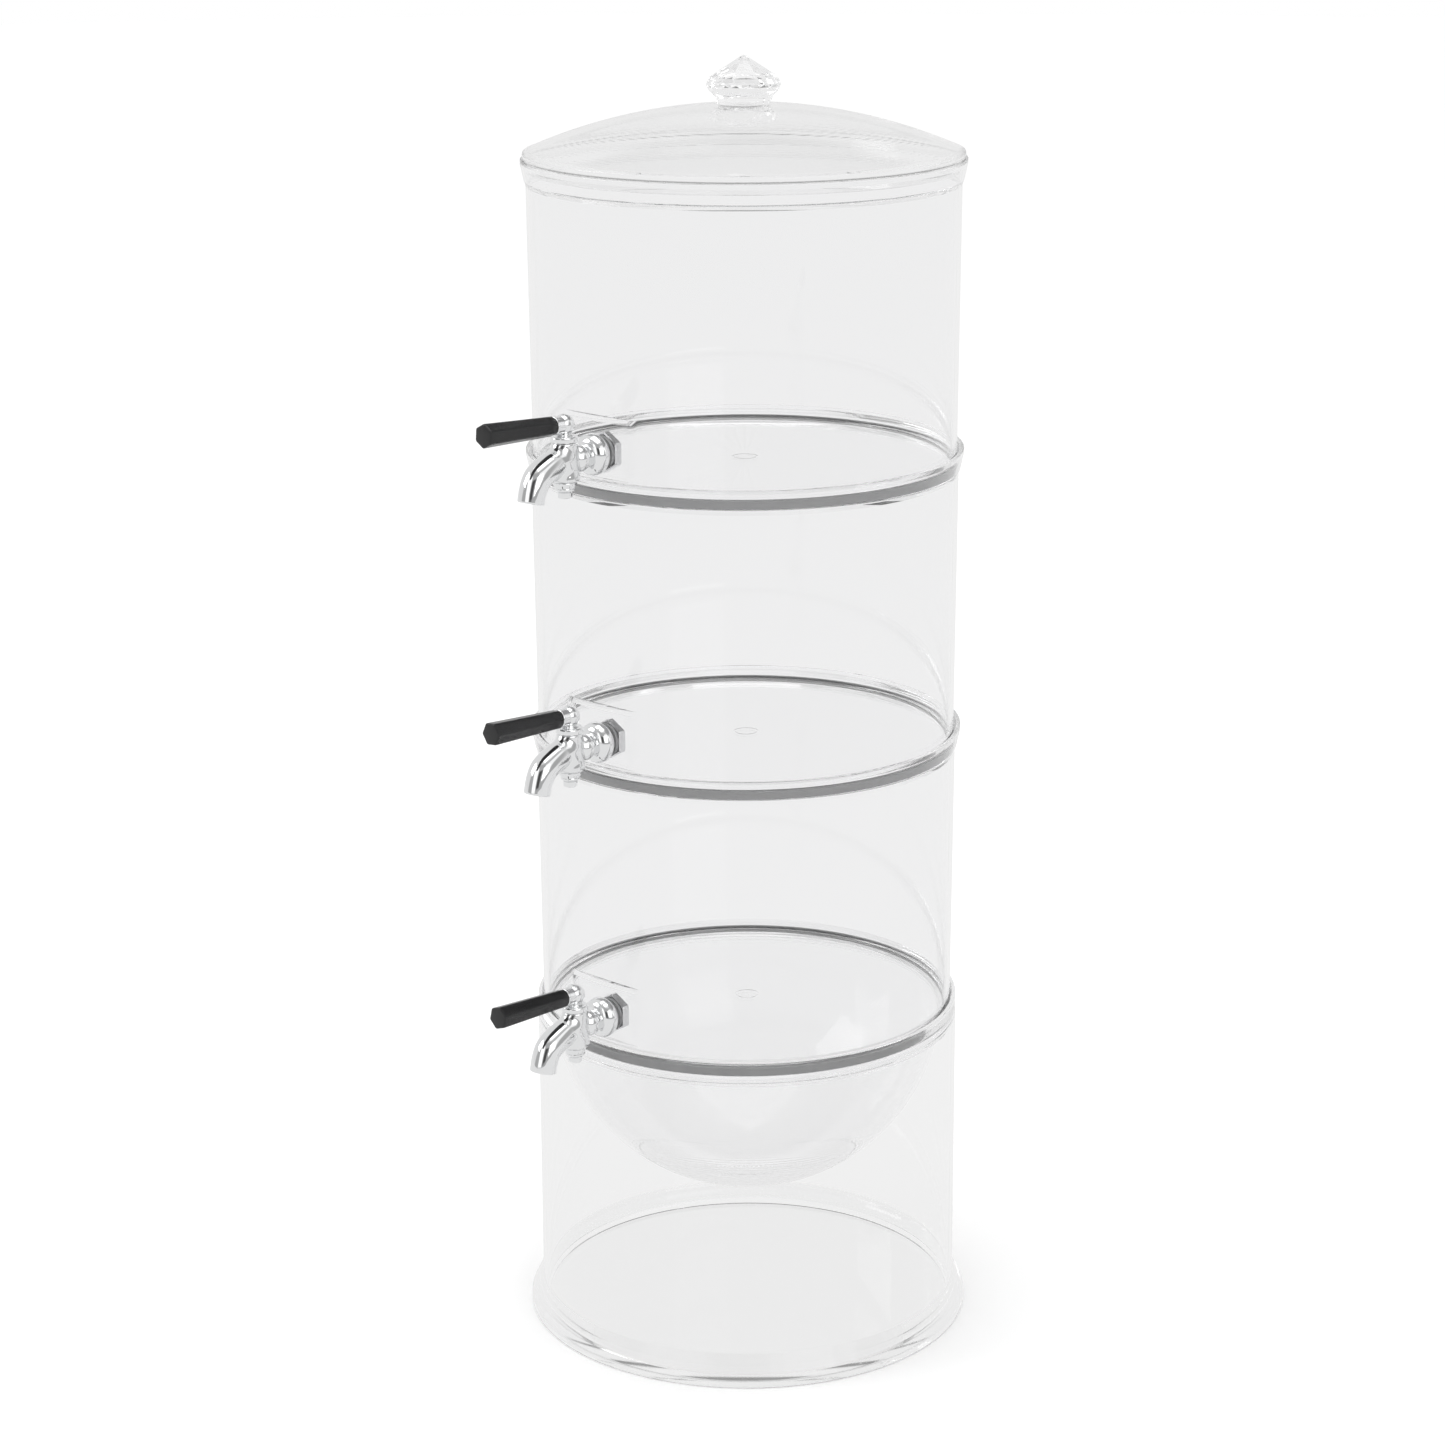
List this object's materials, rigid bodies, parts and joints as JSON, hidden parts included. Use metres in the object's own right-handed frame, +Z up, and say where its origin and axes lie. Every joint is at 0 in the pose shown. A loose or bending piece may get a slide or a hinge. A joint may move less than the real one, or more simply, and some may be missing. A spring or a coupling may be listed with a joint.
{
  "type": "tiered beverage dispenser",
  "caption": "Clear stacked drink tanks with lever taps, over a clear base with a hanging ice bowl, under a domed lid with a cut knob.",
  "frame": {"origin": "on the tanks' axis, at the flat underside of the base", "axes": "+Z up along the tanks' axis; -Y is the way the taps point; +X completes the right-handed frame"},
  "size_m": [0.3216, 0.4095, 0.9108],
  "materials": {
    "clear_acrylic": "clear polished acrylic",
    "cut_acrylic": "clear cut acrylic",
    "grey_silicone": "matte grey silicone",
    "pale_silicone": "matte pale silicone",
    "polished_chrome": "polished chrome plate",
    "turned_steel": "turned steel",
    "plug_brass": "machined brass",
    "black_plastic": "black moulded plastic, satin"
  },
  "bodies": {
    "base_body": {"base": "clear_acrylic"},
    "bowl_body": {"ice_bowl": "clear_acrylic"},
    "lower_tank_body": {"lower_tank": "clear_acrylic", "lower_seal_ring": "grey_silicone", "lower_tap_body": "polished_chrome", "lower_outer_gasket": "grey_silicone", "lower_inner_gasket": "pale_silicone", "lower_shank_nut": "turned_steel"},
    "middle_tank_body": {"middle_tank": "clear_acrylic", "middle_seal_ring": "grey_silicone", "middle_tap_body": "polished_chrome", "middle_outer_gasket": "grey_silicone", "middle_inner_gasket": "pale_silicone", "middle_shank_nut": "turned_steel"},
    "upper_tank_body": {"upper_tank": "clear_acrylic", "upper_seal_ring": "grey_silicone", "upper_tap_body": "polished_chrome", "upper_outer_gasket": "grey_silicone", "upper_inner_gasket": "pale_silicone", "upper_shank_nut": "turned_steel"},
    "lid_body": {"lid": "clear_acrylic", "lid_knob": "cut_acrylic"},
    "lower_lever_body": {"lower_valve_plug": "plug_brass", "lower_cup_washer": "polished_chrome", "lower_plug_screw": "polished_chrome", "lower_tap_lever": "polished_chrome", "lower_lever_grip": "black_plastic"},
    "middle_lever_body": {"middle_valve_plug": "plug_brass", "middle_cup_washer": "polished_chrome", "middle_plug_screw": "polished_chrome", "middle_tap_lever": "polished_chrome", "middle_lever_grip": "black_plastic"},
    "upper_lever_body": {"upper_valve_plug": "plug_brass", "upper_cup_washer": "polished_chrome", "upper_plug_screw": "polished_chrome", "upper_tap_lever": "polished_chrome", "upper_lever_grip": "black_plastic"}
  },
  "joints": [
    {"name": "bowl_lift", "type": "slide", "parent": "base_body", "child": "bowl_body", "axis": [0, 0, 1], "range_m": [0, 0.14]},
    {"name": "lower_tank_lift", "type": "slide", "parent": "bowl_body", "child": "lower_tank_body", "axis": [0, 0, 1], "range_m": [0, 0.04]},
    {"name": "middle_tank_lift", "type": "slide", "parent": "lower_tank_body", "child": "middle_tank_body", "axis": [0, 0, 1], "range_m": [0, 0.04]},
    {"name": "upper_tank_lift", "type": "slide", "parent": "middle_tank_body", "child": "upper_tank_body", "axis": [0, 0, 1], "range_m": [0, 0.04]},
    {"name": "lid_lift", "type": "slide", "parent": "upper_tank_body", "child": "lid_body", "axis": [0, 0, 1], "range_m": [0, 0.04]},
    {"name": "lower_lever_turn", "type": "hinge", "parent": "lower_tank_body", "child": "lower_lever_body", "pos_m": [0, -0.1757, 0.26], "axis": [0, 0, 1], "range_deg": [-90, 90]},
    {"name": "middle_lever_turn", "type": "hinge", "parent": "middle_tank_body", "child": "middle_lever_body", "pos_m": [0, -0.1757, 0.4595], "axis": [0, 0, 1], "range_deg": [-90, 90]},
    {"name": "upper_lever_turn", "type": "hinge", "parent": "upper_tank_body", "child": "upper_lever_body", "pos_m": [0, -0.1757, 0.659], "axis": [0, 0, 1], "range_deg": [-90, 90]}
  ]
}
